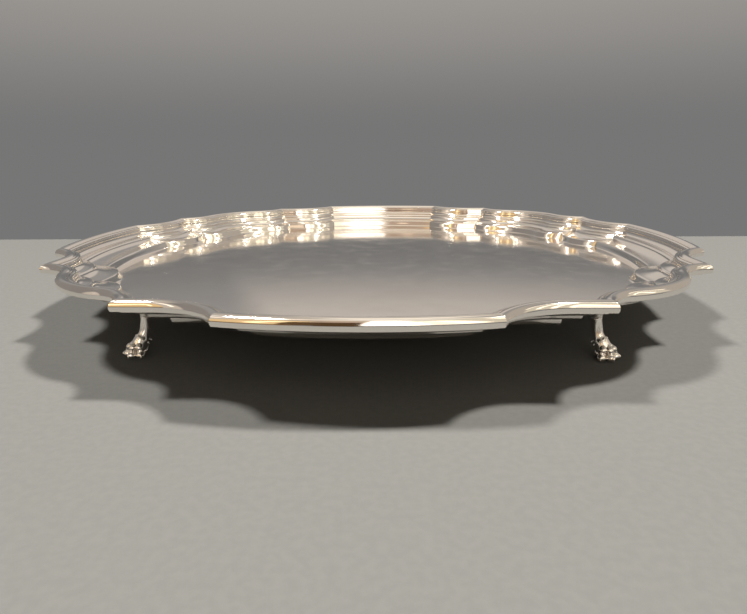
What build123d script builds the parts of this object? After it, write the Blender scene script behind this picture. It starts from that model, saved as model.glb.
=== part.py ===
# Four-footed silver salver with a pie-crust border.
#
# One raised sheet makes the flat well, the stepped border around it and the narrow flange
# at the top. Sixteen lengths of cast reeded moulding are soldered along the flange and meet
# in mitres at the sharp corners of the outline. Four cast paw feet stand on solder pads
# under the well, on the diagonals.
#
# Frame: millimetres, +Z up, origin on the table under the middle of the well. The middles
# of the four broad lobes lie on +X, +Y, -X and -Y, and the four feet lie between them.

import os
from math import cos, hypot, pi, radians, sin, sqrt

from build123d import *

# Outline, seen from above. One eighth of it runs from the middle of a broad lobe to a
# diagonal: broad lobe, hollow, short straight, tight scoop, small lobe.
lobe_reach = 151.3          # centre of the tray to the middle of a broad lobe
lobe_radius = 200.0         # the broad lobe's own curve
step_reach = 132.5          # centre to the line that carries the short straight
hollow_end = 65.5           # along that line, where the hollow runs into the straight
hollow_radius = 27.5
straight_end = 77.2         # along that line, the sharp tip where the scoop starts
scoop_radius = 15.8
small_reach = 151.6         # centre to the middle of a small lobe, on the diagonal
small_radius = 42.7

# Heights above the table.
rim_top = 33.8
flange_top = 30.1
well_top = 21.3
sheet = 1.0                 # thickness of the tray's metal

# Border, measured inward from the outline.
moulding_width = 6.5
flange_inset = 2.6          # the moulding overhangs the flange by this much
well_scale = 0.845          # the well's edge is the outline shrunk by this much

# The border's three stages going in and down from the moulding.
upper_cove_width = 4.6
upper_cove_drop = 2.4
ridge_width = 0.9
ridge_drop = 0.6
lower_cove_drop = 2.7
wall_width = 2.0

# Moulding section: a round outer reed, a groove and a thin inner reed.
outer_reed = 2.4            # radius of the outer reed
groove_in = 4.55
groove_up = 2.36
inner_reed_in = 5.3         # the inner reed's top
inner_reed_up = 2.7
reed_end_in = 6.1           # where the inner reed runs into the moulding's inner face
reed_end_up = 2.3
inner_face_up = 0.9         # height left at the moulding's inner edge

# Feet. Distances inside a foot run outward from the middle of the leg's top.
foot_reach = 122.6          # centre of the tray to the middle of the leg's top
pad_radius = 4.4
pad_thickness = 0.8
leg_radius = 2.0
paw_centre = 4.3
paw_height = 3.2
paw_radius = 3.0
sole_radius = 2.8
sole_height = 2.0
toe_angles = (-75.0, -25.0, 25.0, 75.0)
toe_radius = 1.6
claw_radius = 0.5
toe_reach = 4.1             # centre of the paw to each knuckle
claw_reach = 5.2            # centre of the paw to each claw's point


def meet(centre_a, radius_a, centre_b, radius_b, side):
    # One crossing of two circles. Side is +1 or -1 and picks it.
    dx = centre_b[0] - centre_a[0]
    dy = centre_b[1] - centre_a[1]
    apart = hypot(dx, dy)
    along = (apart**2 + radius_a**2 - radius_b**2) / (2 * apart)
    across = side * sqrt(radius_a**2 - along**2)
    x = centre_a[0] + (along * dx - across * dy) / apart
    y = centre_a[1] + (along * dy + across * dx) / apart
    return x, y


def toward(centre, point, radius):
    # The point of a circle that lies in the direction of another point.
    apart = hypot(point[0] - centre[0], point[1] - centre[1])
    share = radius / apart
    return centre[0] + (point[0] - centre[0]) * share, centre[1] + (point[1] - centre[1]) * share


def middle(a, b):
    return (a[0] + b[0]) / 2, (a[1] + b[1]) / 2


lobe_centre = (0.0, lobe_reach - lobe_radius)
hollow_centre = (hollow_end, step_reach + hollow_radius)
small_centre = ((small_reach - small_radius) / sqrt(2), (small_reach - small_radius) / sqrt(2))
scoop_centre = meet((straight_end, step_reach), scoop_radius, small_centre, scoop_radius + small_radius, 1)


def eighth(width):
    # The outline moved inward by a width: ends and middles of its five stretches, from the
    # middle of the broad lobe at +Y round to the diagonal.
    lobe = lobe_radius - width
    hollow = hollow_radius + width
    scoop = scoop_radius + width
    small = small_radius - width
    rise = scoop_centre[1] - (step_reach - width)
    crest = (0.0, lobe_centre[1] + lobe)
    corner = meet(lobe_centre, lobe, hollow_centre, hollow, 1)
    foot = (hollow_end, step_reach - width)
    tip = (scoop_centre[0] - sqrt(scoop**2 - rise**2), step_reach - width)
    bend = toward(small_centre, scoop_centre, small)
    summit = toward(small_centre, (small_reach, small_reach), small)
    hollow_mid = toward(hollow_centre, middle(corner, foot), hollow)
    scoop_mid = toward(scoop_centre, middle(tip, bend), scoop)
    return [crest, corner, hollow_mid, foot, middle(foot, tip), tip, scoop_mid, bend, summit]


def outline(width):
    # The whole outline moved inward, clockwise from above: 64 points, an end and a middle
    # for each of the 32 stretches.
    half = eighth(width)
    left = (-half[1][0], half[1][1])
    quarter = [left] + half + [(y, x) for x, y in reversed(half[2:8])]
    points = []
    for turn in range(4):
        c = cos(-turn * pi / 2)
        s = sin(-turn * pi / 2)
        points += [(x * c - y * s, x * s + y * c) for x, y in quarter]
    return points


def shrunk(points, factor):
    return [(x * factor, y * factor) for x, y in points]


def between(points_a, points_b, share):
    return [
        (xa + (xb - xa) * share, ya + (yb - ya) * share)
        for (xa, ya), (xb, yb) in zip(points_a, points_b)
    ]


def closed_wire(points, z):
    # A wire of arcs, with a straight edge wherever the three points are in line.
    edges = []
    for first in range(0, len(points), 2):
        a, b, c = (points[(first + step) % len(points)] for step in range(3))
        bulge = (b[0] - a[0]) * (c[1] - a[1]) - (b[1] - a[1]) * (c[0] - a[0])
        if abs(bulge) < 1e-6:
            edges.append(Line((*a, z), (*c, z)).edge())
        else:
            edges.append(ThreePointArc((*a, z), (*b, z), (*c, z)).edge())
    return Wire(edges)


def cove(start, end, steps):
    # A hollow curve that leaves its start straight down and arrives level.
    run = end[0] - start[0]
    drop = start[1] - end[1]
    angles = [pi / 2 * step / steps for step in range(1, steps + 1)]
    return [(start[0] + run * (1 - cos(a)), end[1] + drop * (1 - sin(a))) for a in angles]


def roll(start, end, steps):
    # An S curve that leaves level, falls and arrives level.
    run = end[0] - start[0]
    drop = start[1] - end[1]
    shares = [step / steps for step in range(1, steps + 1)]
    return [(start[0] + run * t, start[1] - drop * (1 - cos(pi * t)) / 2) for t in shares]


def border_profile():
    # The upper face of the border as distance inward and height, from the moulding's
    # inner edge down to the well.
    span = lobe_reach * (1 - well_scale)
    start = (moulding_width, flange_top)
    upper_end = (start[0] + upper_cove_width, start[1] - upper_cove_drop)
    ridge_end = (upper_end[0] + ridge_width, upper_end[1] - ridge_drop)
    brink = (span - wall_width, ridge_end[1] - lower_cove_drop)
    profile = [start]
    profile += cove(start, upper_end, 3)
    profile.append(ridge_end)
    profile += cove(ridge_end, brink, 3)
    profile += roll(brink, (span, well_top), 3)
    return profile


def under_profile(profile):
    # The same profile moved down and out by the thickness of the sheet.
    moved = []
    for index, (run, height) in enumerate(profile):
        before = profile[max(index - 1, 0)]
        after = profile[min(index + 1, len(profile) - 1)]
        slope_run = after[0] - before[0]
        slope_drop = before[1] - after[1]
        length = hypot(slope_run, slope_drop)
        moved.append((run - sheet * slope_drop / length, height - sheet * slope_run / length))
    moved[0] = (moved[0][0], flange_top - sheet)
    moved[-1] = (moved[-1][0], well_top - sheet)
    return moved


def dish(profile):
    # A solid with the border's shape, from the first height of a profile to its last.
    span = lobe_reach * (1 - well_scale)
    outer = outline(moulding_width)
    inner = shrunk(outline(0), well_scale)
    wires = []
    for run, height in profile:
        share = (run - moulding_width) / (span - moulding_width)
        wires.append(closed_wire(between(outer, inner, share), height))
    return Solid.make_loft(wires, ruled=True)


def make_tray():
    top = border_profile()
    flange = extrude(Face(closed_wire(outline(flange_inset), flange_top - sheet)), sheet, dir=(0, 0, 1))
    bowl = dish(under_profile(top))
    pocket = dish(top)
    return (flange + bowl) - pocket


def moulding_face():
    # The moulding's section, with X running inward from the outline and Y up.
    base = flange_top
    reed_middle = rim_top - outer_reed
    foot_of_reed = outer_reed - sqrt(outer_reed**2 - (reed_middle - base) ** 2)
    outer_face = RadiusArc((foot_of_reed, base), (0, reed_middle), outer_reed)
    outer_top = RadiusArc((0, reed_middle), (outer_reed, rim_top), outer_reed)
    ease = outer_reed / sqrt(2)
    shoulder = (outer_reed + ease, reed_middle + ease)
    outer_fall = RadiusArc((outer_reed, rim_top), shoulder, outer_reed)
    groove = (groove_in, base + groove_up)
    into_groove = Line(shoulder, groove)
    out_of_groove = ThreePointArc(
        groove, (inner_reed_in, base + inner_reed_up), (reed_end_in, base + reed_end_up)
    )
    inner_fall = Line(out_of_groove @ 1, (moulding_width, base + inner_face_up))
    inner_face = Line(inner_fall @ 1, (moulding_width, base))
    floor = Line(inner_face @ 1, (foot_of_reed, base))
    parts = [outer_face, outer_top, outer_fall, into_groove, out_of_groove, inner_fall, inner_face, floor]
    return make_face(Curve() + parts)


def upright(place, inward):
    # A plane for the moulding's section: X points inward, Y up.
    return Plane(origin=(place[0], place[1], 0), x_dir=(*inward, 0), z_dir=(inward[1], -inward[0], 0))


def curved_length(centre, radius, start, end, side):
    # Moulding along an arc of the outline. Side is -1 in the lobes, where the tray lies
    # towards the arc's centre, and +1 in the hollows.
    arrive = Vector(start[0] - centre[0], start[1] - centre[1])
    leave = Vector(end[0] - centre[0], end[1] - centre[1])
    turn = arrive.get_signed_angle(leave, Vector(0, 0, 1))
    sense = 1 if turn > 0 else -1
    out = arrive.normalized()
    place = (centre[0] + out.X * radius, centre[1] + out.Y * radius)
    section = upright(place, (out.X * side, out.Y * side)) * moulding_face()
    return revolve(section, Axis((centre[0], centre[1], 0), (0, 0, sense)), abs(turn))


def straight_length(start, end):
    # Moulding along the short straight, which runs in +X with the tray on its -Y side.
    section = upright(start, (0, -1)) * moulding_face()
    return extrude(section, start[0] - end[0])


def mitre(index):
    # The upright plane of a mitre, through a corner of the outline and the same corner of
    # the moulding's inner edge. It faces the way the outline runs.
    outer = outline(0)[index]
    inner = outline(moulding_width)[index]
    across = Vector(inner[0] - outer[0], inner[1] - outer[1])
    return Plane(origin=(outer[0], outer[1], 0), z_dir=(-across.Y, across.X, 0))


def trimmed(length, first, last):
    after_first = split(length, bisect_by=facing(first, first + 1), keep=Keep.TOP)
    return split(after_first, bisect_by=facing(last, last - 1), keep=Keep.TOP)


def facing(index, towards):
    # The mitre plane at one corner, turned to face a neighbouring point of the outline.
    plane = mitre(index)
    point = outline(moulding_width / 2)[towards]
    offset = Vector(point[0], point[1], 0) - plane.origin
    return plane if offset.dot(plane.z_dir) > 0 else -plane


def broad_lobe_length():
    points = outline(0)
    return trimmed(curved_length(lobe_centre, lobe_radius, points[0], points[2], -1), 0, 2)


def step_length():
    points = outline(0)
    hollow = curved_length(hollow_centre, hollow_radius, points[2], points[4], 1)
    return trimmed(hollow + straight_length(points[4], points[6]), 2, 6)


def small_lobe_length():
    points = outline(0)
    scoop = curved_length(scoop_centre, scoop_radius, points[6], points[8], 1)
    lobe = curved_length(small_centre, small_radius, points[8], points[10], -1)
    other_scoop = mirror(scoop, about=Plane(origin=(0, 0, 0), z_dir=(1, -1, 0)))
    return trimmed(scoop + lobe + other_scoop, 6, 12)


def capsule(start, end, start_radius, end_radius):
    # A rounded finger: a ball at each end and a cone that runs between them.
    along = Vector(*end) - Vector(*start)
    rings = [
        Wire.make_circle(start_radius, Plane(origin=start, z_dir=along)),
        Wire.make_circle(end_radius, Plane(origin=end, z_dir=along)),
    ]
    cone = Part() + Solid.make_loft(rings, ruled=True)
    return cone + Pos(*start) * Sphere(start_radius) + Pos(*end) * Sphere(end_radius)


def make_foot():
    # One foot on the +X side, X running outward: a leg that flares at its top, leans out
    # and ends in a paw of four toes with claws, and a spur behind the ankle.
    leg_top = well_top - sheet - pad_thickness
    stations = [
        (0.0, leg_top, 2 * leg_radius),
        (0.0, leg_top - 1.6, 1.3 * leg_radius),
        (0.1, leg_top - 4.5, leg_radius),
        (0.9, leg_top - 9.0, leg_radius),
        (2.2, leg_top - 12.0, 1.15 * leg_radius),
        (paw_centre, paw_height + 1.0, 1.4 * leg_radius),
    ]
    rings = [Wire.make_circle(radius, Plane(origin=(x, 0, z))) for x, z, radius in stations]
    foot = Part() + Solid.make_loft(rings, ruled=False)
    foot += Pos(paw_centre, 0, paw_height) * Sphere(paw_radius)
    foot += capsule((2.2, 0, 6.2), (-1.4, 0, 4.4), 1.2, 0.5)
    foot += capsule((paw_centre, 0, 1.9), (1.6, 0, 1.3), 1.9, 1.2)
    foot += Pos(paw_centre, 0, sole_height / 2) * Cylinder(sole_radius, sole_height)
    for angle in toe_angles:
        c = cos(radians(angle))
        s = sin(radians(angle))
        root = (paw_centre + 0.4 * toe_reach * c, 0.4 * toe_reach * s, paw_height + 0.3)
        knuckle = (paw_centre + toe_reach * c, toe_reach * s, 2.4)
        claw = (paw_centre + claw_reach * c, claw_reach * s, claw_radius)
        foot += capsule(root, knuckle, toe_radius, toe_radius)
        foot += capsule(knuckle, claw, 0.8 * toe_radius, claw_radius)
        foot += Pos(knuckle[0], knuckle[1], 0.85 * toe_radius) * Sphere(toe_radius)
    table = Pos(0, 0, -5) * Box(40, 40, 10)
    return foot - table


def make_pad():
    top = well_top - sheet
    return Pos(0, 0, top - pad_thickness / 2) * Cylinder(pad_radius, pad_thickness)


def write(shape, name):
    solids = shape.solids()
    assert len(solids) == 1, (name, len(solids))
    export_step(solids[0], f"parts/{name}.step")


def main():
    os.makedirs("parts", exist_ok=True)
    write(make_tray(), "tray")

    lobe = broad_lobe_length()
    step_right = step_length()
    step_left = mirror(step_right, about=Plane.YZ)
    small = small_lobe_length()
    foot = make_foot()
    pad = make_pad()
    sides = ("back", "right", "front", "left")
    corners = ("back_right", "front_right", "front_left", "back_left")
    for turn, (side, corner) in enumerate(zip(sides, corners)):
        around = Rot(0, 0, -90 * turn)
        write(around * lobe, f"rim_lobe_{side}")
        write(around * step_left, f"rim_step_{side}_a")
        write(around * step_right, f"rim_step_{side}_b")
        write(around * small, f"rim_lobe_{corner}")
        under = around * Rot(0, 0, 45) * Pos(foot_reach, 0, 0)
        write(under * foot, f"foot_{corner}")
        write(under * pad, f"foot_pad_{corner}")


main()
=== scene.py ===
from math import asin, atan2, cos, degrees, hypot, pi, radians, sin, sqrt

import bmesh
import bpy
from mathutils import Euler, Matrix, Vector


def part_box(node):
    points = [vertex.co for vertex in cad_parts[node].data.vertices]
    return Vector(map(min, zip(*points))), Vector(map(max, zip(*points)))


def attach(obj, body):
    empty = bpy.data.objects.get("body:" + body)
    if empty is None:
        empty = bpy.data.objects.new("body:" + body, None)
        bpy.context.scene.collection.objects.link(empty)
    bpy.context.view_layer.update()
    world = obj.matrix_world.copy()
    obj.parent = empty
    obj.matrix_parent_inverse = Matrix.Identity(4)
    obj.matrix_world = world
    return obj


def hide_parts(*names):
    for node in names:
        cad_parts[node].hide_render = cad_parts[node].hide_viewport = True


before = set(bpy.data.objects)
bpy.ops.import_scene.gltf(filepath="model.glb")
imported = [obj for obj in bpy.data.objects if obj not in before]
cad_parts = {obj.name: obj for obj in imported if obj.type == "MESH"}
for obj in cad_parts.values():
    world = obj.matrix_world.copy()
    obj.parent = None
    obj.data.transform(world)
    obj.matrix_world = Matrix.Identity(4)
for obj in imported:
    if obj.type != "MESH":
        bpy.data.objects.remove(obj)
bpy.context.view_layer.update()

mm = 0.001

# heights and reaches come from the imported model
trayLow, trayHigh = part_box("tray")
lobeLow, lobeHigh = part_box("rim_lobe_back")
stepLow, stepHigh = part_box("rim_step_back_b")
padLow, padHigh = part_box("foot_pad_back_right")
rimTop = lobeHigh.z
flangeTop = lobeLow.z
wellUnder = trayLow.z
legTop = padLow.z
legReach = hypot((padLow.x + padHigh.x) / 2, (padLow.y + padHigh.y) / 2)
padRadius = (padHigh.x - padLow.x) / 2


# node helpers: one wrapped socket for shader and geometry maths

class Link:
    def __init__(self, tree, socket):
        self.tree = tree
        self.socket = socket

    def node(self, kind, settings=None, values=None, output=0):
        made = self.tree.nodes.new(kind)
        for name, value in (settings or {}).items():
            setattr(made, name, value)
        for name, value in (values or {}).items():
            socket = made.inputs[name]
            if isinstance(value, Link):
                self.tree.links.new(value.socket, socket)
            else:
                socket.default_value = value
        return Link(self.tree, made.outputs[output])

    def maths(self, operation, *others, clamp=False):
        values = dict(enumerate((self,) + others))
        return self.node("ShaderNodeMath", {"operation": operation, "use_clamp": clamp}, values)

    def __add__(self, other):
        return self.maths("ADD", other)

    def __sub__(self, other):
        return self.maths("SUBTRACT", other)

    def __mul__(self, other):
        return self.maths("MULTIPLY", other)

    def __truediv__(self, other):
        return self.maths("DIVIDE", other)

    def __radd__(self, other):
        return self.node("ShaderNodeMath", {"operation": "ADD"}, {0: other, 1: self})

    def __rsub__(self, other):
        return self.node("ShaderNodeMath", {"operation": "SUBTRACT"}, {0: other, 1: self})

    def __rmul__(self, other):
        return self.node("ShaderNodeMath", {"operation": "MULTIPLY"}, {0: other, 1: self})

    def ramp(self, low, high):
        # 0 below low, 1 above high, smooth between
        values = {"Value": self, "From Min": low, "From Max": high}
        return self.node("ShaderNodeMapRange", {"interpolation_type": "SMOOTHSTEP"}, values)

    def blend(self, first, second):
        # the first colour where self is 0, the second where it is 1
        values = {"Factor": self, "A": first, "B": second}
        return self.node("ShaderNodeMix", {"data_type": "RGBA"}, values, "Result")


# outline of the salver, seen from above

outline = {
    "lobeRadius": 200.0 * mm,
    "hollowEnd": 65.5 * mm,
    "hollowRadius": 27.5 * mm,
    "scoopRadius": 15.8 * mm,
    "smallReach": 151.6 * mm,
    "smallRadius": 42.7 * mm,
    "mouldingWidth": 6.5 * mm,
    "wellScale": 0.845,
    # steps along each stretch, from the middle of a broad lobe to the diagonal
    "steps": {"lobe": 30, "hollow": 26, "straight": 6, "scoop": 22, "small": 24},
}


def meet(centreA, radiusA, centreB, radiusB):
    # one crossing of two circles
    dx = centreB[0] - centreA[0]
    dy = centreB[1] - centreA[1]
    apart = hypot(dx, dy)
    along = (apart**2 + radiusA**2 - radiusB**2) / (2 * apart)
    across = sqrt(radiusA**2 - along**2)
    x = centreA[0] + (along * dx - across * dy) / apart
    y = centreA[1] + (along * dy + across * dx) / apart
    return x, y


def toward(centre, point, radius):
    share = radius / hypot(point[0] - centre[0], point[1] - centre[1])
    return centre[0] + (point[0] - centre[0]) * share, centre[1] + (point[1] - centre[1]) * share


lobeReach = lobeHigh.y
stepReach = stepLow.y + outline["mouldingWidth"]
straightEnd = stepHigh.x
lobeCentre = (0.0, lobeReach - outline["lobeRadius"])
hollowCentre = (outline["hollowEnd"], stepReach + outline["hollowRadius"])
smallMiddle = (outline["smallReach"] - outline["smallRadius"]) / sqrt(2)
smallCentre = (smallMiddle, smallMiddle)
scoopToSmall = outline["scoopRadius"] + outline["smallRadius"]
scoopCentre = meet((straightEnd, stepReach), outline["scoopRadius"], smallCentre, scoopToSmall)


def arcPoints(centre, start, end, steps):
    # the start and the points between, without the end
    first = atan2(start[1] - centre[1], start[0] - centre[0])
    turn = atan2(end[1] - centre[1], end[0] - centre[0]) - first
    turn = (turn + pi) % (2 * pi) - pi
    radius = hypot(start[0] - centre[0], start[1] - centre[1])
    angles = [first + turn * i / steps for i in range(steps)]
    return [(centre[0] + radius * cos(a), centre[1] + radius * sin(a)) for a in angles]


def linePoints(start, end, steps):
    shares = [i / steps for i in range(steps)]
    return [
        (start[0] + (end[0] - start[0]) * t, start[1] + (end[1] - start[1]) * t) for t in shares
    ]


def loopPoints(width):
    # the outline moved inward, clockwise from the middle of the back lobe
    lobe = outline["lobeRadius"] - width
    hollow = outline["hollowRadius"] + width
    scoop = outline["scoopRadius"] + width
    small = outline["smallRadius"] - width
    steps = outline["steps"]
    line = stepReach - width
    crest = (0.0, lobeCentre[1] + lobe)
    corner = meet(lobeCentre, lobe, hollowCentre, hollow)
    foot = (outline["hollowEnd"], line)
    tip = (scoopCentre[0] - sqrt(scoop**2 - (scoopCentre[1] - line) ** 2), line)
    bend = toward(smallCentre, scoopCentre, small)
    summit = toward(smallCentre, (1.0, 1.0), small)
    eighth = arcPoints(lobeCentre, crest, corner, steps["lobe"])
    eighth += arcPoints(hollowCentre, corner, foot, steps["hollow"])
    eighth += linePoints(foot, tip, steps["straight"])
    eighth += arcPoints(scoopCentre, tip, bend, steps["scoop"])
    eighth += arcPoints(smallCentre, bend, summit, steps["small"])
    quarter = eighth + [summit] + [(y, x) for x, y in reversed(eighth[1:])]
    points = []
    for turn in range(4):
        c, s = (1, 0, -1, 0)[turn], (0, -1, 0, 1)[turn]
        points += [(x * c - y * s, x * s + y * c) for x, y in quarter]
    return points


flangeInset = lobeHigh.y - trayHigh.y
flangeLoop = loopPoints(flangeInset)
outerLoop = loopPoints(0.0)
innerLoop = loopPoints(outline["mouldingWidth"])
wellLoop = [(x * outline["wellScale"], y * outline["wellScale"]) for x, y in outerLoop]
loopCount = len(outerLoop)
print("outline:", loopCount, "points round")


# sections of the border and the moulding: distance inward, height

def curvePoints(centre, radius, first, last, steps):
    # points of a circle in the section, by angle in degrees
    angles = [radians(first + (last - first) * i / steps) for i in range(steps + 1)]
    return [(centre[0] + radius * cos(a), centre[1] + radius * sin(a)) for a in angles]


border = {
    "upperWidth": 4.6 * mm,
    "upperDrop": 2.4 * mm,
    "ridgeWidth": 0.9 * mm,
    "ridgeDrop": 0.6 * mm,
    "lowerDrop": 2.7 * mm,
    "wallWidth": 2.0 * mm,
    "sheet": 1.0 * mm,
    "edgeRound": 0.4 * mm,
    "wellLap": 1.0 * mm,    # how far the section runs on into the flat well
    "leastStep": 0.02 * mm,
    "coveSteps": 10,
    "ridgeSteps": 6,
    "wallSteps": 14,
    "edgeSteps": 4,
    "crease": 26,           # degrees, past which an edge stays sharp
}


def cove(start, end, steps):
    # leaves its start straight down and arrives level
    angles = [pi / 2 * i / steps for i in range(1, steps + 1)]
    run, drop = end[0] - start[0], start[1] - end[1]
    return [(start[0] + run * (1 - cos(a)), end[1] + drop * (1 - sin(a))) for a in angles]


def roll(start, end, steps):
    # an S curve, level at both ends
    shares = [i / steps for i in range(1, steps + 1)]
    run, drop = end[0] - start[0], start[1] - end[1]
    return [(start[0] + run * t, start[1] - drop * (1 - cos(pi * t)) / 2) for t in shares]


def borderTop():
    # distance inward and height, from the moulding's inner edge to just inside the well
    wellTop = wellUnder + border["sheet"]
    span = lobeReach * (1 - outline["wellScale"])
    start = (outline["mouldingWidth"], flangeTop)
    upperEnd = (start[0] + border["upperWidth"], start[1] - border["upperDrop"])
    ridgeEnd = (upperEnd[0] + border["ridgeWidth"], upperEnd[1] - border["ridgeDrop"])
    brink = (span - border["wallWidth"], ridgeEnd[1] - border["lowerDrop"])
    profile = [start] + cove(start, upperEnd, border["coveSteps"])
    profile += roll(upperEnd, ridgeEnd, border["ridgeSteps"])
    profile += cove(ridgeEnd, brink, border["coveSteps"])
    profile += roll(brink, (span, wellTop), border["wallSteps"])
    return profile


def borderUnder(profile):
    # the top profile moved through the sheet, without the points that would fold back
    moved = []
    for i, (run, height) in enumerate(profile):
        before, after = profile[max(i - 1, 0)], profile[min(i + 1, len(profile) - 1)]
        slopeRun, slopeDrop = after[0] - before[0], before[1] - after[1]
        length = hypot(slopeRun, slopeDrop)
        shift = border["sheet"] / length
        point = (run - shift * slopeDrop, height - shift * slopeRun)
        if not moved or point[0] > moved[-1][0] + border["leastStep"]:
            moved.append(point)
    moved[0] = (moved[0][0], flangeTop - border["sheet"])
    return moved


def traySection():
    # over the top from the well out to the flange's edge, round it and back underneath
    top = borderTop()
    under = borderUnder(top)
    rounding = border["edgeRound"]
    steps = border["edgeSteps"]
    edge = flangeInset + rounding
    low = flangeTop - border["sheet"]
    inside = top[-1][0] + border["wellLap"]
    wellTop = wellUnder + border["sheet"]
    section = [(inside, wellTop)] + top[::-1]
    section += curvePoints((edge, flangeTop - rounding), rounding, 90, 180, steps)
    section += curvePoints((edge, low + rounding), rounding, 180, 270, steps)
    section += under[:-1] + [(under[-1][0], wellUnder), (inside, wellUnder)]
    return section


moulding = {
    "outerReed": 2.4 * mm,
    "innerReed": 1.0 * mm,
    "innerReedIn": 5.3 * mm,
    "innerReedDown": 1.0 * mm,
    "groove": 0.28 * mm,
    "innerFaceUp": 0.9 * mm,
    "reedSteps": 30,
    "grooveSteps": 8,
    "innerReedSteps": 12,
    "innerReedEnd": -20,    # degrees below level, where the inner reed meets the inner face
    "crease": 32,
}


def angleOf(centre, point):
    return degrees(atan2(point[1] - centre[1], point[0] - centre[0]))


def mouldingSection():
    # a round outer reed, a softened groove and a thin inner reed, on a flat base
    reed, thinReed, soft = moulding["outerReed"], moulding["innerReed"], moulding["groove"]
    big = (reed, rimTop - reed)
    thin = (moulding["innerReedIn"], rimTop - moulding["innerReedDown"] - thinReed)
    groove = meet(big, reed + soft, thin, thinReed + soft)
    leave = angleOf(big, groove)
    arrive = angleOf(thin, groove)
    base = 180 + degrees(asin((big[1] - flangeTop) / reed))
    section = curvePoints(big, reed, base, leave, moulding["reedSteps"])
    section += curvePoints(groove, soft, leave - 180, arrive + 180, moulding["grooveSteps"])[1:-1]
    section += curvePoints(
        thin, thinReed, arrive, moulding["innerReedEnd"], moulding["innerReedSteps"]
    )
    section += [(outline["mouldingWidth"], flangeTop + moulding["innerFaceUp"])]
    section += [(outline["mouldingWidth"], flangeTop)]
    return section


# the sweep: a section carried along a stretch of outline

def newTree(name, inputs):
    tree = bpy.data.node_groups.new(name, "GeometryNodeTree")
    tree.interface.new_socket("Geometry", in_out="INPUT", socket_type="NodeSocketGeometry")
    for label, kind, default in inputs:
        socket = tree.interface.new_socket(label, in_out="INPUT", socket_type=kind)
        if default is not None:
            socket.default_value = default
    tree.interface.new_socket("Geometry", in_out="OUTPUT", socket_type="NodeSocketGeometry")
    start = tree.nodes.new("NodeGroupInput")
    links = {socket.name: Link(tree, socket) for socket in start.outputs if socket.name}
    return tree, links


def closeTree(tree, geometry, material):
    whole = geometry.node("GeometryNodeRealizeInstances", None, {"Geometry": geometry})
    painted = whole.node("GeometryNodeSetMaterial", None, {"Geometry": whole, "Material": material})
    end = tree.nodes.new("NodeGroupOutput")
    tree.links.new(painted.socket, end.inputs[0])


def capture(geometry, value):
    # keeps a vector with the points, and gives both back
    made = geometry.tree.nodes.new("GeometryNodeCaptureAttribute")
    made.capture_items.new("VECTOR", "Kept")
    geometry.tree.links.new(geometry.socket, made.inputs["Geometry"])
    geometry.tree.links.new(value.socket, made.inputs["Kept"])
    return Link(geometry.tree, made.outputs["Geometry"]), Link(geometry.tree, made.outputs["Kept"])


def vectorMath(operation, a, b):
    values = {0: a}
    if operation == "SCALE":
        values["Scale"] = b
    else:
        values[1] = b
    return a.node("ShaderNodeVectorMath", {"operation": operation}, values)


def sweepTree():
    inputs = [
        ("Section", "NodeSocketObject", None),
        ("Close Ends", "NodeSocketBool", False),
        ("Height Scale", "NodeSocketFloat", 1.0),
        ("Material", "NodeSocketMaterial", None),
    ]
    tree, given = newTree("sweepBetweenLoops", inputs)
    path = given["Geometry"]
    place = path.node("GeometryNodeInputPosition")
    kind = {"data_type": "FLOAT_VECTOR"}
    inward = path.node("GeometryNodeInputNamedAttribute", kind, {"Name": "inward"})
    outward = path.node("GeometryNodeInputNamedAttribute", kind, {"Name": "outward"})
    path, middle = capture(path, place)
    path, inner = capture(path, inward)
    path, outer = capture(path, outward)
    rail = path.node("GeometryNodeMeshToCurve", None, {"Mesh": path})
    info = path.node("GeometryNodeObjectInfo", None, {"Object": given["Section"]}, "Geometry")
    shape = info.node("GeometryNodeMeshToCurve", None, {"Mesh": info})
    shape, cut = capture(shape, place)
    values = {"Curve": rail, "Profile Curve": shape, "Fill Caps": given["Close Ends"]}
    skin = rail.node("GeometryNodeCurveToMesh", None, values)
    share = cut.node("ShaderNodeSeparateXYZ", None, {0: cut}, "X")
    height = cut.node("ShaderNodeSeparateXYZ", None, {0: cut}, "Z") * given["Height Scale"]
    # a share above 0 goes toward the inward loop, one below 0 toward the outward loop
    more = share.maths("MAXIMUM", 0.0)
    less = (0.0 - share).maths("MAXIMUM", 0.0)
    goIn = vectorMath("SCALE", vectorMath("SUBTRACT", inner, middle), more)
    goOut = vectorMath("SCALE", vectorMath("SUBTRACT", outer, middle), less)
    lift = height.node("ShaderNodeCombineXYZ", None, {"Z": height})
    target = vectorMath("ADD", vectorMath("ADD", middle, goIn), vectorMath("ADD", goOut, lift))
    moved = skin.node("GeometryNodeSetPosition", None, {"Geometry": skin, "Position": target})
    closeTree(tree, moved, given["Material"])
    return tree


def wireMesh(name, points, closed, inward=None, outward=None):
    # a chain of edges, with the loops it is to be stretched to
    mesh = bpy.data.meshes.new(name)
    count = len(points)
    edges = [(i, i + 1) for i in range(count - 1)] + ([(count - 1, 0)] if closed else [])
    mesh.from_pydata(points, edges, [])
    for label, values in (("inward", inward), ("outward", outward)):
        if values:
            attribute = mesh.attributes.new(label, "FLOAT_VECTOR", "POINT")
            attribute.data.foreach_set("vector", [n for p in values for n in p])
    return mesh


def addObject(name, mesh):
    made = bpy.data.objects.new(name, mesh)
    bpy.context.scene.collection.objects.link(made)
    return made


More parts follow.
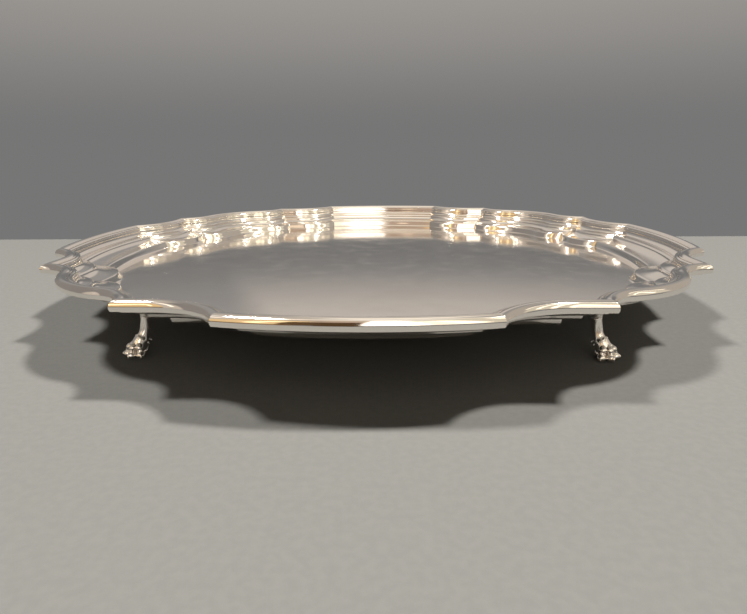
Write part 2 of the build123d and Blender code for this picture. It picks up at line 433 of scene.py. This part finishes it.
def applyTree(carrier, tree, values):
    # sets the modifier's inputs, takes the plain mesh and drops the modifier
    modifier = carrier.modifiers.new("build", "NODES")
    modifier.node_group = tree
    given = [item for item in tree.interface.items_tree if item.in_out == "INPUT"]
    sockets = {item.name: item.identifier for item in given}
    for label, value in values.items():
        modifier[sockets[label]] = value
    bpy.context.view_layer.update()
    graph = bpy.context.evaluated_depsgraph_get()
    mesh = bpy.data.meshes.new_from_object(carrier.evaluated_get(graph), depsgraph=graph)
    carrier.modifiers.remove(modifier)
    return mesh


def flat(points):
    # lays plan points on the table
    return [(x, y, 0.0) for x, y in points]


weldReach = 0.0005 * mm


def tidyMesh(mesh, crease, fill=False):
    # one closed shell, faces outward, smooth except across real edges
    work = bmesh.new()
    work.from_mesh(mesh)
    bmesh.ops.remove_doubles(work, verts=work.verts, dist=weldReach)
    if fill:
        bmesh.ops.holes_fill(work, edges=[e for e in work.edges if e.is_boundary], sides=0)
    bmesh.ops.recalc_face_normals(work, faces=work.faces)
    for face in work.faces:
        face.smooth = True
    work.to_mesh(mesh)
    work.free()
    mesh.set_sharp_from_angle(angle=radians(crease))
    for label in ("inward", "outward"):
        if label in mesh.attributes:
            mesh.attributes.remove(mesh.attributes[label])
    return mesh


def finishPiece(name, mesh, nodes):
    piece = addObject(name, mesh)
    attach(piece, "root")
    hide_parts(*nodes)
    return piece


silver = {
    "colour": (0.95, 0.90, 0.845, 1.0),
    "worn": (0.88, 0.825, 0.76, 1.0),
    "recess": (0.30, 0.255, 0.21, 1.0),
    "recessDirt": 0.85,
    "roughness": 0.07,
    "smear": 0.055,         # added to the roughness where it was wiped
    "hairline": 0.08,       # added along the hairline scratches
    "ripple": 0.012,
    "tarnish": 0.55,
    "cloudScale": 38.0,
    "smearScale": 95.0,
    "rippleScale": 16.0,
    # turn, stretch, scale and detail of the two sets of hairlines
    "hairlines": [
        ((0.0, 0.0, 0.6), (1.0, 24.0, 1.0), 160.0, 3.0),
        ((0.0, 0.0, -1.1), (18.0, 1.0, 1.0), 140.0, 2.0),
    ],
    "relief": 0.35,
}


def noise(place, scale, detail, roughness=0.5):
    values = {"Vector": place, "Scale": scale, "Detail": detail, "Roughness": roughness}
    return place.node("ShaderNodeTexNoise", None, values)


def makeSilver(name, look):
    # polished metal: faint tarnish clouds, wiped smears, hairline scratches and a slow ripple
    material = bpy.data.materials.new(name)
    material.use_nodes = True
    tree = material.node_tree
    shader = tree.nodes["Principled BSDF"]
    place = Link(tree, tree.nodes.new("ShaderNodeTexCoord").outputs["Object"])
    clouds = noise(place, look["cloudScale"], 4.0, 0.55)
    smears = noise(place, look["smearScale"], 6.0)
    sets = []
    for turn, stretch, scale, detail in look["hairlines"]:
        values = {"Vector": place, "Rotation": turn, "Scale": stretch}
        sets.append(noise(place.node("ShaderNodeMapping", None, values), scale, detail))
    scratch = sets[0].maths("MAXIMUM", sets[1]).ramp(0.66, 0.78)
    tint = (clouds.ramp(0.45, 0.75) * look["tarnish"]).blend(look["colour"], look["worn"])
    if look.get("recesses"):
        hollow = place.node("ShaderNodeNewGeometry", None, None, "Pointiness")
        dirt = 1.0 - hollow.ramp(look["recesses"][0], look["recesses"][1])
        tint = (dirt * look["recessDirt"]).blend(tint, look["recess"])
    gloss = look["roughness"] + smears.ramp(0.42, 0.72) * look["smear"] + scratch * look["hairline"]
    relief = noise(place, look["rippleScale"], 1.0) * look["ripple"] - scratch * 0.004
    values = {"Height": relief, "Strength": look["relief"], "Distance": mm}
    bump = place.node("ShaderNodeBump", None, values)
    tree.links.new(tint.socket, shader.inputs["Base Color"])
    tree.links.new(gloss.socket, shader.inputs["Roughness"])
    tree.links.new(bump.socket, shader.inputs["Normal"])
    shader.inputs["Metallic"].default_value = 1.0
    return material


silverSheet = makeSilver("silverSheet", silver)
silverCast = makeSilver("silverCast", {**silver, "roughness": 0.06, "smear": 0.06})
satin = {"roughness": 0.19, "smear": 0.08, "recesses": (0.38, 0.49)}
silverFoot = makeSilver("silverFoot", {**silver, **satin})
print("materials made")


sweep = sweepTree()


def trayPiece():
    reach = lobeReach * (1 - outline["wellScale"]) - outline["mouldingWidth"]
    flangeReach = outline["mouldingWidth"] - flangeInset
    section = []
    for run, height in traySection():
        away = run - outline["mouldingWidth"]
        section.append((away / reach if away > 0 else away / flangeReach, 0.0, height))
    cutter = addObject("traySection", wireMesh("traySection", section, False))
    mesh = wireMesh("trayPath", flat(innerLoop), True, flat(wellLoop), flat(flangeLoop))
    carrier = addObject("trayPath", mesh)
    swept = applyTree(
        carrier, sweep, {"Section": cutter, "Close Ends": False, "Material": silverSheet}
    )
    for helper in (carrier, cutter):
        bpy.data.objects.remove(helper)
    return finishPiece("salverTray", tidyMesh(swept, border["crease"], fill=True), ["tray"])


sides = ("back", "right", "front", "left")
corners = ("back_right", "front_right", "front_left", "back_left")


def rimStretches():
    # each cast length as its node and the loop places where it starts and ends
    steps = outline["steps"]
    toCorner = steps["lobe"]
    toTip = toCorner + steps["hollow"] + steps["straight"]
    quarter = loopCount // 4
    stretches = {}
    for turn in range(4):
        crest = turn * quarter
        stretches[f"rim_lobe_{sides[turn]}"] = (crest - toCorner, crest + toCorner)
        stretches[f"rim_step_{sides[turn]}_a"] = (crest - toTip, crest - toCorner)
        stretches[f"rim_step_{sides[turn]}_b"] = (crest + toCorner, crest + toTip)
        stretches[f"rim_lobe_{corners[turn]}"] = (crest + toTip, crest + quarter - toTip)
    return stretches


def rimPieces():
    section = [(run / outline["mouldingWidth"], 0.0, height) for run, height in mouldingSection()]
    cutter = addObject("rimSection", wireMesh("rimSection", section, True))
    for node, (first, last) in rimStretches().items():
        places = [i % loopCount for i in range(first, last + 1)]
        path = [(*outerLoop[i], 0.0) for i in places]
        inner = [(*innerLoop[i], 0.0) for i in places]
        carrier = addObject("rimPath", wireMesh("rimPath", path, False, inner, path))
        mesh = applyTree(
            carrier, sweep, {"Section": cutter, "Close Ends": True, "Material": silverCast}
        )
        bpy.data.objects.remove(carrier)
        finishPiece("moulding_" + node[4:], tidyMesh(mesh, moulding["crease"]), [node])
    bpy.data.objects.remove(cutter)


trayPiece()
print("tray made")
rimPieces()
print("rim mouldings made")


foot = {
    "legRadius": 2.1 * mm,
    "pawCentre": 4.3 * mm,
    "pawHeight": 3.2 * mm,
    "toeCount": 4,
    "toeFan": 150.0,        # degrees from the first toe to the last
    "toeReach": 4.3 * mm,
    "toeRadius": 1.85 * mm,
    "clawReach": 5.75 * mm,
    "grain": 0.13 * mm,     # cell of the remesh that melts the shapes together
    "easing": 4,
    "ballSegments": 28,
    "ballRings": 18,
    "hornSides": 24,
    "parts": 4,             # stretches between two stations of a limb
    "crease": 50,
}


def addBall(work, place, radii, turn=(0.0, 0.0, 0.0)):
    matrix = Matrix.Translation(place) @ Euler(turn).to_matrix().to_4x4()
    matrix @= Matrix.Diagonal((*radii, 1.0))
    segments, rings = foot["ballSegments"], foot["ballRings"]
    bmesh.ops.create_uvsphere(
        work, u_segments=segments, v_segments=rings, radius=1.0, matrix=matrix
    )


def closeRings(work, rings):
    # skins rings of points given from low to high, and caps both ends
    sides = len(rings[0])
    for low, high in zip(rings, rings[1:]):
        for step in range(sides):
            after = (step + 1) % sides
            work.faces.new((low[step], low[after], high[after], high[step]))
    work.faces.new(reversed(rings[0]))
    work.faces.new(rings[-1])


def smoothStations(stations, parts):
    # a rounded path through the given stations
    path = []
    for i in range(len(stations) - 1):
        a, b = stations[max(i - 1, 0)], stations[i]
        c, d = stations[i + 1], stations[min(i + 2, len(stations) - 1)]
        for step in range(parts):
            t = step / parts
            point = []
            for p, q, r, s in zip(a, b, c, d):
                squared = (2 * p - 5 * q + 4 * r - s) * t * t
                cubed = (3 * q - p - 3 * r + s) * t**3
                point.append(0.5 * (2 * q + (r - p) * t + squared + cubed))
            path.append(tuple(point))
    return path + [stations[-1]]


def addHorn(work, stations, parts=foot["parts"]):
    # a tapering limb through (x, y, z, radius) stations
    path = smoothStations(stations, parts)
    sides = foot["hornSides"]
    rings = []
    for i, (x, y, z, radius) in enumerate(path):
        before, after = path[max(i - 1, 0)], path[min(i + 1, len(path) - 1)]
        turn = (Vector(after[:3]) - Vector(before[:3])).to_track_quat("Z", "Y")
        ring = []
        for step in range(sides):
            a = 2 * pi * step / sides
            spot = turn @ Vector((radius * cos(a), radius * sin(a), 0.0))
            ring.append(work.verts.new(Vector((x, y, z)) + spot))
        rings.append(ring)
    closeRings(work, rings)


def toeMesh():
    # one toe pointing along +X: a tendon, a raised knuckle, a round pad and a hooked claw
    work = bmesh.new()
    reach, radius = foot["toeReach"], foot["toeRadius"]
    addHorn(work, [
        (-0.35 * reach, 0, 8.0 * mm, 0.34 * radius),
        (0.04 * reach, 0, 6.6 * mm, 0.42 * radius),
        (0.40 * reach, 0, 5.2 * mm, 0.52 * radius),
        (0.74 * reach, 0, 3.9 * mm, 0.58 * radius),
        (0.92 * reach, 0, 2.0 * mm, 0.52 * radius),
    ])
    knuckle = (0.84 * radius, 0.80 * radius, 0.64 * radius)
    toePad = (0.90 * radius, 0.90 * radius, 0.86 * radius)
    addBall(work, (0.70 * reach, 0, 4.25 * mm), knuckle, (0, 0.5, 0))
    addBall(work, (0.95 * reach, 0, 1.25 * mm), toePad, (0, 0.2, 0))
    tip = foot["clawReach"]
    addHorn(work, [
        (tip - 1.0 * mm, 0, 1.9 * mm, 0.62 * mm),
        (tip - 0.35 * mm, 0, 1.6 * mm, 0.60 * mm),
        (tip - 0.05 * mm, 0, 1.0 * mm, 0.46 * mm),
        (tip + 0.0 * mm, 0, 0.45 * mm, 0.28 * mm),
    ])
    mesh = bpy.data.meshes.new("toe")
    work.to_mesh(mesh)
    work.free()
    return mesh


def bodyMesh():
    # leg, ankle, the paw's back, its heel, the fur behind and the spur
    work = bmesh.new()
    leg, centre = foot["legRadius"], foot["pawCentre"]
    addHorn(work, [
        (0.0, 0, legTop, 2.0 * leg),
        (0.0, 0, legTop - 0.5 * mm, 1.70 * leg),
        (0.0, 0, legTop - 1.6 * mm, 1.22 * leg),
        (0.1 * mm, 0, legTop - 4.5 * mm, 0.96 * leg),
        (0.6 * mm, 0, legTop - 8.6 * mm, 0.90 * leg),
        (1.7 * mm, 0, legTop - 11.6 * mm, 1.02 * leg),
        (2.9 * mm, 0, 6.0 * mm, 1.34 * leg),
        (centre, 0, 3.6 * mm, 1.45 * leg),
    ], parts=5)
    addBall(work, (centre, 0, foot["pawHeight"]), (2.7 * mm, 2.6 * mm, 2.1 * mm))
    addBall(work, (centre - 1.7 * mm, 0, 1.75 * mm), (1.9 * mm, 2.2 * mm, 1.75 * mm))
    addBall(work, (centre + 0.2 * mm, 0, 1.0 * mm), (2.9 * mm, 2.8 * mm, 1.0 * mm))
    addHorn(work, [
        (3.0 * mm, 0, 6.9 * mm, 1.3 * mm),
        (1.0 * mm, 0, 6.1 * mm, 1.0 * mm),
        (-0.7 * mm, 0, 5.0 * mm, 0.62 * mm),
        (-1.4 * mm, 0, 4.3 * mm, 0.22 * mm),
    ])
    for side in (-1, 1):
        # a sinew down each side of the shin and a lock of fur below the spur
        addHorn(work, [
            (1.2 * mm, side * 0.8 * mm, legTop - 2.5 * mm, 0.55 * mm),
            (1.5 * mm, side * 0.8 * mm, legTop - 6.5 * mm, 0.62 * mm),
            (2.3 * mm, side * 0.95 * mm, legTop - 10.5 * mm, 0.66 * mm),
            (3.9 * mm, side * 1.2 * mm, 6.2 * mm, 0.66 * mm),
        ])
        addHorn(work, [
            (2.4 * mm, side * 1.5 * mm, 6.0 * mm, 0.85 * mm),
            (1.2 * mm, side * 1.7 * mm, 4.5 * mm, 0.72 * mm),
            (0.5 * mm, side * 1.4 * mm, 3.0 * mm, 0.42 * mm),
        ])
    mesh = bpy.data.meshes.new("footBody")
    work.to_mesh(mesh)
    work.free()
    return mesh


def pawTree():
    # fans the toes round the paw's centre and adds them to the leg
    inputs = [
        ("Toe", "NodeSocketObject", None),
        ("Toe Count", "NodeSocketInt", 4),
        ("Fan", "NodeSocketFloat", 1.0),
        ("Paw Centre", "NodeSocketFloat", 0.004),
        ("Material", "NodeSocketMaterial", None),
    ]
    tree, given = newTree("fanOfToes", inputs)
    body = given["Geometry"]
    count = {"Count": given["Toe Count"], "Offset": (0, 0, 0)}
    spots = body.node("GeometryNodeMeshLine", {"mode": "OFFSET"}, count)
    index = body.node("GeometryNodeInputIndex")
    share = index / (given["Toe Count"] - 1.0) - 0.5
    turn = share.node("ShaderNodeCombineXYZ", None, {"Z": share * given["Fan"]})
    toe = body.node("GeometryNodeObjectInfo", None, {"Object": given["Toe"]}, "Geometry")
    values = {"Points": spots, "Instance": toe, "Rotation": turn}
    fan = spots.node("GeometryNodeInstanceOnPoints", None, values)
    shift = share.node("ShaderNodeCombineXYZ", None, {"X": given["Paw Centre"]})
    values = {"Instances": fan, "Translation": shift, "Local Space": False}
    fan = fan.node("GeometryNodeTranslateInstances", None, values)
    joined = tree.nodes.new("GeometryNodeJoinGeometry")
    tree.links.new(body.socket, joined.inputs[0])
    tree.links.new(fan.socket, joined.inputs[0])
    closeTree(tree, Link(tree, joined.outputs[0]), given["Material"])
    return tree


def meltTogether(mesh, cell, passes):
    # one skin over everything, with the joints softened
    carrier = addObject("melt", mesh)
    remesh = carrier.modifiers.new("remesh", "REMESH")
    remesh.mode = "VOXEL"
    remesh.voxel_size = cell
    ease = carrier.modifiers.new("ease", "SMOOTH")
    ease.factor = 0.5
    ease.iterations = passes
    bpy.context.view_layer.update()
    graph = bpy.context.evaluated_depsgraph_get()
    melted = bpy.data.meshes.new_from_object(carrier.evaluated_get(graph), depsgraph=graph)
    bpy.data.objects.remove(carrier)
    return melted


def footMesh():
    toe = addObject("toe", toeMesh())
    body = addObject("footBody", bodyMesh())
    fan = radians(foot["toeFan"])
    values = {
        "Toe": toe, "Toe Count": foot["toeCount"], "Fan": fan, "Paw Centre": foot["pawCentre"]
    }
    values["Material"] = silverFoot
    mesh = applyTree(body, pawTree(), values)
    for helper in (toe, body):
        bpy.data.objects.remove(helper)
    melted = meltTogether(mesh, foot["grain"], foot["easing"])
    melted.materials.clear()
    melted.materials.append(silverFoot)
    return melted


def flattenSole(mesh, low, high):
    # the sole is filed flat on the table and the top flat against the pad
    for vertex in mesh.vertices:
        vertex.co.z = min(max(vertex.co.z, low), high)


pad = {
    # share of the full radius, and share of the height
    "rings": [(0.87, 0.0), (0.885, 0.2), (0.93, 0.45), (0.985, 0.72), (1.0, 1.0)],
    "sides": 96,
    # depth of each wave in the edge, waves round, and where it starts
    "waves": [(0.02, 3, 0.6), (0.012, 7, 0.0)],
}


def padMesh():
    # solder between the leg and the tray: a low disc with a drawn-in, slightly uneven edge
    work = bmesh.new()
    rings = []
    for share, up in pad["rings"]:
        ring = []
        for step in range(pad["sides"]):
            a = 2 * pi * step / pad["sides"]
            uneven = sum(
                depth * (1 + sin(count * a + start)) for depth, count, start in pad["waves"]
            )
            radius = padRadius * share * (1 - uneven * (1 - up))
            z = padLow.z + (padHigh.z - padLow.z) * up
            ring.append(work.verts.new((radius * cos(a), radius * sin(a), z)))
        rings.append(ring)
    closeRings(work, rings)
    mesh = bpy.data.meshes.new("pad")
    work.to_mesh(mesh)
    work.free()
    mesh.materials.append(silverFoot)
    return mesh


def feetPieces():
    shape = footMesh()
    flattenSole(shape, 0.0, legTop)
    disc = padMesh()
    for turn, corner in enumerate(corners):
        spin = Matrix.Rotation(pi / 4 - turn * pi / 2, 4, "Z")
        place = spin @ Matrix.Translation((legReach, 0, 0))
        for kind, mesh in (("foot", shape), ("foot_pad", disc)):
            copy = mesh.copy()
            copy.transform(place)
            finishPiece(f"paw_{kind}_{corner}", tidyMesh(copy, foot["crease"]), [f"{kind}_{corner}"])


feetPieces()
print("feet made")


stage = {
    "tableColour": (0.262, 0.260, 0.248, 1.0),
    "tableShade": (0.246, 0.244, 0.234, 1.0),
    "edgeBehind": 0.2057,   # the table's far edge, straight behind the salver
    "edgeSlope": 0.0160,
    "half": 2.2,
    "near": -2.6,
    "grainScale": 420.0,
    "roughness": 0.75,
}


def makeTable():
    half, near = stage["half"], stage["near"]
    far = [stage["edgeBehind"] + stage["edgeSlope"] * x for x in (half, -half)]
    mesh = bpy.data.meshes.new("table")
    corners = [(-half, near, 0), (half, near, 0), (half, far[0], 0), (-half, far[1], 0)]
    mesh.from_pydata(corners, [], [(0, 1, 2, 3)])
    table = addObject("table", mesh)
    material = bpy.data.materials.new("tableTop")
    material.use_nodes = True
    tree = material.node_tree
    shader = tree.nodes["Principled BSDF"]
    place = Link(tree, tree.nodes.new("ShaderNodeTexCoord").outputs["Object"])
    grain = noise(place, stage["grainScale"], 6.0).ramp(0.3, 0.7)
    tint = grain.blend(stage["tableColour"], stage["tableShade"])
    tree.links.new(tint.socket, shader.inputs["Base Color"])
    shader.inputs["Roughness"].default_value = stage["roughness"]
    shader.inputs["Specular IOR Level"].default_value = 0.0
    mesh.materials.append(material)


# a dark card close in front, for the front moulding to reflect; only the metal sees it
card = {
    "left": -0.050,
    "right": -0.002,
    "low": 0.040,
    "high": 0.104,
    "front": -0.211,
    "colour": (0.075, 0.040, 0.018, 1.0),
    "grain": (0.110, 0.062, 0.030, 1.0),
    "grainScale": 50.0,
}


def makeCard():
    left, right, low, high = card["left"], card["right"], card["low"], card["high"]
    front = card["front"]
    mesh = bpy.data.meshes.new("darkCard")
    corners = [(left, front, low), (left, front, high), (right, front, high), (right, front, low)]
    mesh.from_pydata(corners, [], [(0, 1, 2, 3)])
    made = addObject("darkCard", mesh)
    for ray in ("camera", "diffuse", "shadow", "transmission", "volume_scatter"):
        setattr(made, "visible_" + ray, False)
    material = bpy.data.materials.new("darkCard")
    material.use_nodes = True
    tree = material.node_tree
    shader = tree.nodes["Principled BSDF"]
    place = Link(tree, tree.nodes.new("ShaderNodeTexCoord").outputs["Object"])
    tint = noise(place, card["grainScale"], 2.0).ramp(0.3, 0.7).blend(card["colour"], card["grain"])
    tree.links.new(tint.socket, shader.inputs["Emission Color"])
    shader.inputs["Emission Strength"].default_value = 1.0
    shader.inputs["Base Color"].default_value = (0.0, 0.0, 0.0, 1.0)
    shader.inputs["Specular IOR Level"].default_value = 0.0
    mesh.materials.append(material)


# what the polished metal sees: azimuth 0 is toward the viewer, 90 is +X, 180 is behind
room = {
    "grey": (0.182, 0.181, 0.180, 1.0),
    "wall": (0.340, 0.320, 0.300, 1.0),
    "wallFade": (1.0, 15.0),    # elevations between which the seen wall lightens
    "spill": 0.02,          # share of the room's light that reaches matt surfaces
    # middle azimuth, half width, elevation from, to, softness, colour
    "panels": [
        (180, 75, 13, 95, 6, (0.300, 0.290, 0.280, 1.0)),       # wall behind, above its foot
        (176, 18, 14.5, 44, 7, (0.560, 0.510, 0.465, 1.0)),      # lit patch on it
        (180, 45, 42, 95, 10, (0.470, 0.430, 0.380, 1.0)),
        (-98, 36, -6, 46, 16, (0.250, 0.232, 0.215, 1.0)),      # left wall
        (112, 28, -6, 46, 16, (0.420, 0.380, 0.330, 1.0)),      # right wall
        (-110, 45, 50, 95, 12, (0.500, 0.450, 0.395, 1.0)),     # upper left
        (-59, 15, -6, 72, 6, (0.560, 0.490, 0.420, 1.0)),
        (54, 38, 9, 76, 6, (0.670, 0.605, 0.480, 1.0)),         # cream wall
        (-34, 12, 7, 60, 5, (0.800, 0.560, 0.290, 1.0)),        # gold curtain
        (-13, 11, 8, 66, 2, (0.470, 0.350, 0.265, 1.0)),        # peach wall
        (-40, 60, 66, 95, 8, (0.600, 0.480, 0.370, 1.0)),       # ceiling, left
        (70, 75, 72, 95, 8, (0.720, 0.660, 0.570, 1.0)),        # ceiling, right
        (6.5, 9, 9, 76, 2, (2.300, 2.150, 1.950, 1.0)),         # tall bright window
        (21, 6.5, 9, 62, 4, (1.250, 1.120, 0.900, 1.0)),        # its curtain
        (16, 21, 74, 95, 5, (1.150, 1.060, 0.930, 1.0)),
        (174, 26, 56, 95, 7, (1.000, 0.920, 0.800, 1.0)),
        (0, 200, 78, 110, 12, (0.860, 0.790, 0.690, 1.0)),      # ceiling overhead, even all round
        (27, 4, 14, 62, 2, (1.900, 1.700, 1.300, 1.0)),
        (50, 4, 12, 58, 2, (1.900, 1.700, 1.350, 1.0)),
        (73, 3.5, 20, 68, 2, (1.700, 1.520, 1.250, 1.0)),
        (97, 3, 30, 60, 3, (1.300, 1.150, 0.950, 1.0)),
        (-61, 3.5, 18, 54, 2, (1.500, 1.350, 1.150, 1.0)),
        (-32, 2, 16, 52, 1.5, (2.000, 1.600, 0.950, 1.0)),
        (-11, 2, 18, 40, 1.5, (1.000, 0.800, 0.600, 1.0)),
        (-9, 6, -8, 8, 2, (0.090, 0.056, 0.032, 1.0)),          # dark wood low down
        (-33, 13, -8, 7, 3, (0.200, 0.115, 0.045, 1.0)),
        (40, 4, -8, 9, 2, (0.160, 0.125, 0.090, 1.0)),
    ],
}


def makeRoom():
    world = bpy.data.worlds.new("room")
    bpy.context.scene.world = world
    world.use_nodes = True
    tree = world.node_tree
    sky = tree.nodes["Background"]
    way = Link(tree, tree.nodes.new("ShaderNodeTexCoord").outputs["Generated"])
    x, y, z = (way.node("ShaderNodeSeparateXYZ", None, {0: way}, axis) for axis in "XYZ")
    azimuth = x.maths("ARCTAN2", 0.0 - y) * degrees(1)
    elevation = z.maths("ARCSINE") * degrees(1)
    colour = room["grey"]
    for middle, half, low, high, soft, tint in room["panels"]:
        beside = (azimuth - middle).maths("WRAP", 180.0, -180.0).maths("ABSOLUTE")
        above = (elevation - (low + high) / 2).maths("ABSOLUTE")
        tall = (high - low) / 2
        side = beside.ramp(half - soft / 2, half + soft / 2)
        end = above.ramp(tall - soft / 2, tall + soft / 2)
        colour = (1.0 - side.maths("MAXIMUM", end)).blend(colour, tint)
    # the eye itself sees a plain wall, a little lighter higher up
    seen = elevation.ramp(*room["wallFade"]).blend(room["grey"], room["wall"])
    direct = way.node("ShaderNodeLightPath", None, None, "Is Camera Ray")
    colour = direct.blend(colour, seen)
    matt = way.node("ShaderNodeLightPath", None, None, "Diffuse Depth").maths("MINIMUM", 1.0)
    tree.links.new(colour.socket, sky.inputs["Color"])
    tree.links.new((1.0 - matt * (1.0 - room["spill"])).socket, sky.inputs["Strength"])


# place, size of the disc, power and colour
lamps = {
    "mainLamp": ((1.18, -0.22, 2.36), 0.30, 67.0, (1.0, 0.97, 0.92)),
    "leftLamp": ((-1.0, -0.30, 2.30), 0.36, 46.5, (1.0, 0.975, 0.93)),
}


def addLamp(name, place, size, power, colour):
    light = bpy.data.lights.new(name, "AREA")
    light.shape = "DISK"
    light.size = size
    light.energy = power
    light.color = colour
    lamp = bpy.data.objects.new(name, light)
    lamp.location = place
    lamp.rotation_euler = Vector(place).to_track_quat("Z", "Y").to_euler()
    bpy.context.scene.collection.objects.link(lamp)


view = {
    "place": (0.0112, -0.2988, 0.0788),
    "heading": 2.41,
    "pitch": 15.71,
    "roll": -0.5,
    "lens": 27.78,
    "sensor": 36.0,
    "nearest": 0.01,
}


def makeCamera():
    data = bpy.data.cameras.new("camera")
    data.lens = view["lens"]
    data.sensor_width = view["sensor"]
    data.clip_start = view["nearest"]
    camera = bpy.data.objects.new("camera", data)
    turn = Matrix.Rotation(radians(view["heading"]), 4, "Z")
    turn @= Matrix.Rotation(radians(90 - view["pitch"]), 4, "X")
    turn @= Matrix.Rotation(radians(view["roll"]), 4, "Z")
    camera.matrix_world = Matrix.Translation(view["place"]) @ turn
    bpy.context.scene.collection.objects.link(camera)
    bpy.context.scene.camera = camera


makeTable()
makeCard()
makeRoom()
for name, lamp in lamps.items():
    addLamp(name, *lamp)
makeCamera()
bpy.context.scene.view_settings.view_transform = "Standard"
print("stage made")
